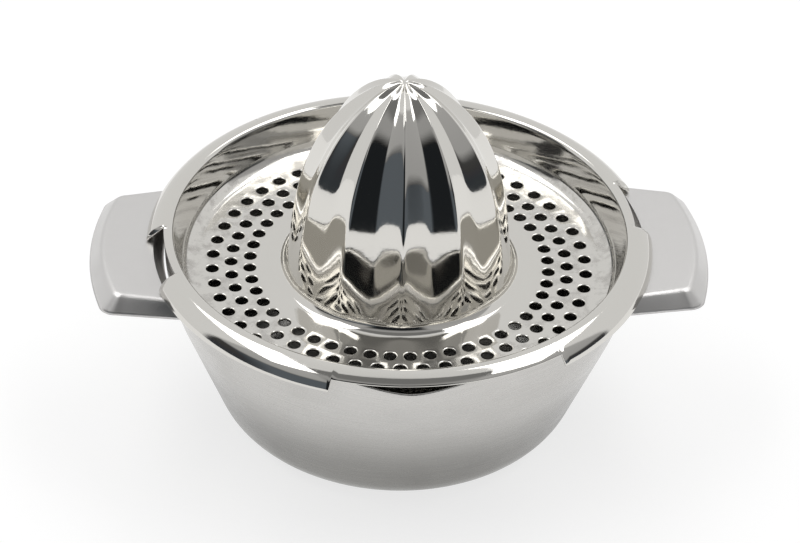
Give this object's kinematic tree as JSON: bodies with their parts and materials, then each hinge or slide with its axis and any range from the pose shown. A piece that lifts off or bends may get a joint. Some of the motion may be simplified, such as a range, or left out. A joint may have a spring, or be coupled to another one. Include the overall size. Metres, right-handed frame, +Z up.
{
  "type": "hand citrus juicer",
  "caption": "Steel bowl with a pouring spout at front and back and a flat wing handle at each side, under a lift-off perforated strainer tray with a ribbed reaming cone.",
  "frame": {"origin": "centre of the bowl's flat base, on the surface the juicer stands on", "axes": "+Z up along the cone, +X towards the right handle, the two spouts at -Y and +Y"},
  "size_m": [0.198, 0.16, 0.123],
  "materials": {
    "bowl_steel": "fine satin, brushed round the bowl",
    "handle_steel": "fine satin",
    "polished_steel": "mirror polish, with a satin floor between the holes"
  },
  "bodies": {
    "bowl_body": {"bowl": "bowl_steel", "left_handle": "handle_steel", "right_handle": "handle_steel"},
    "strainer_body": {"strainer_reamer": "polished_steel"}
  },
  "joints": [
    {"name": "strainer_lift", "type": "slide", "parent": "bowl_body", "child": "strainer_body", "axis": [0, 0, 1], "range_m": [0, 0.08]}
  ]
}
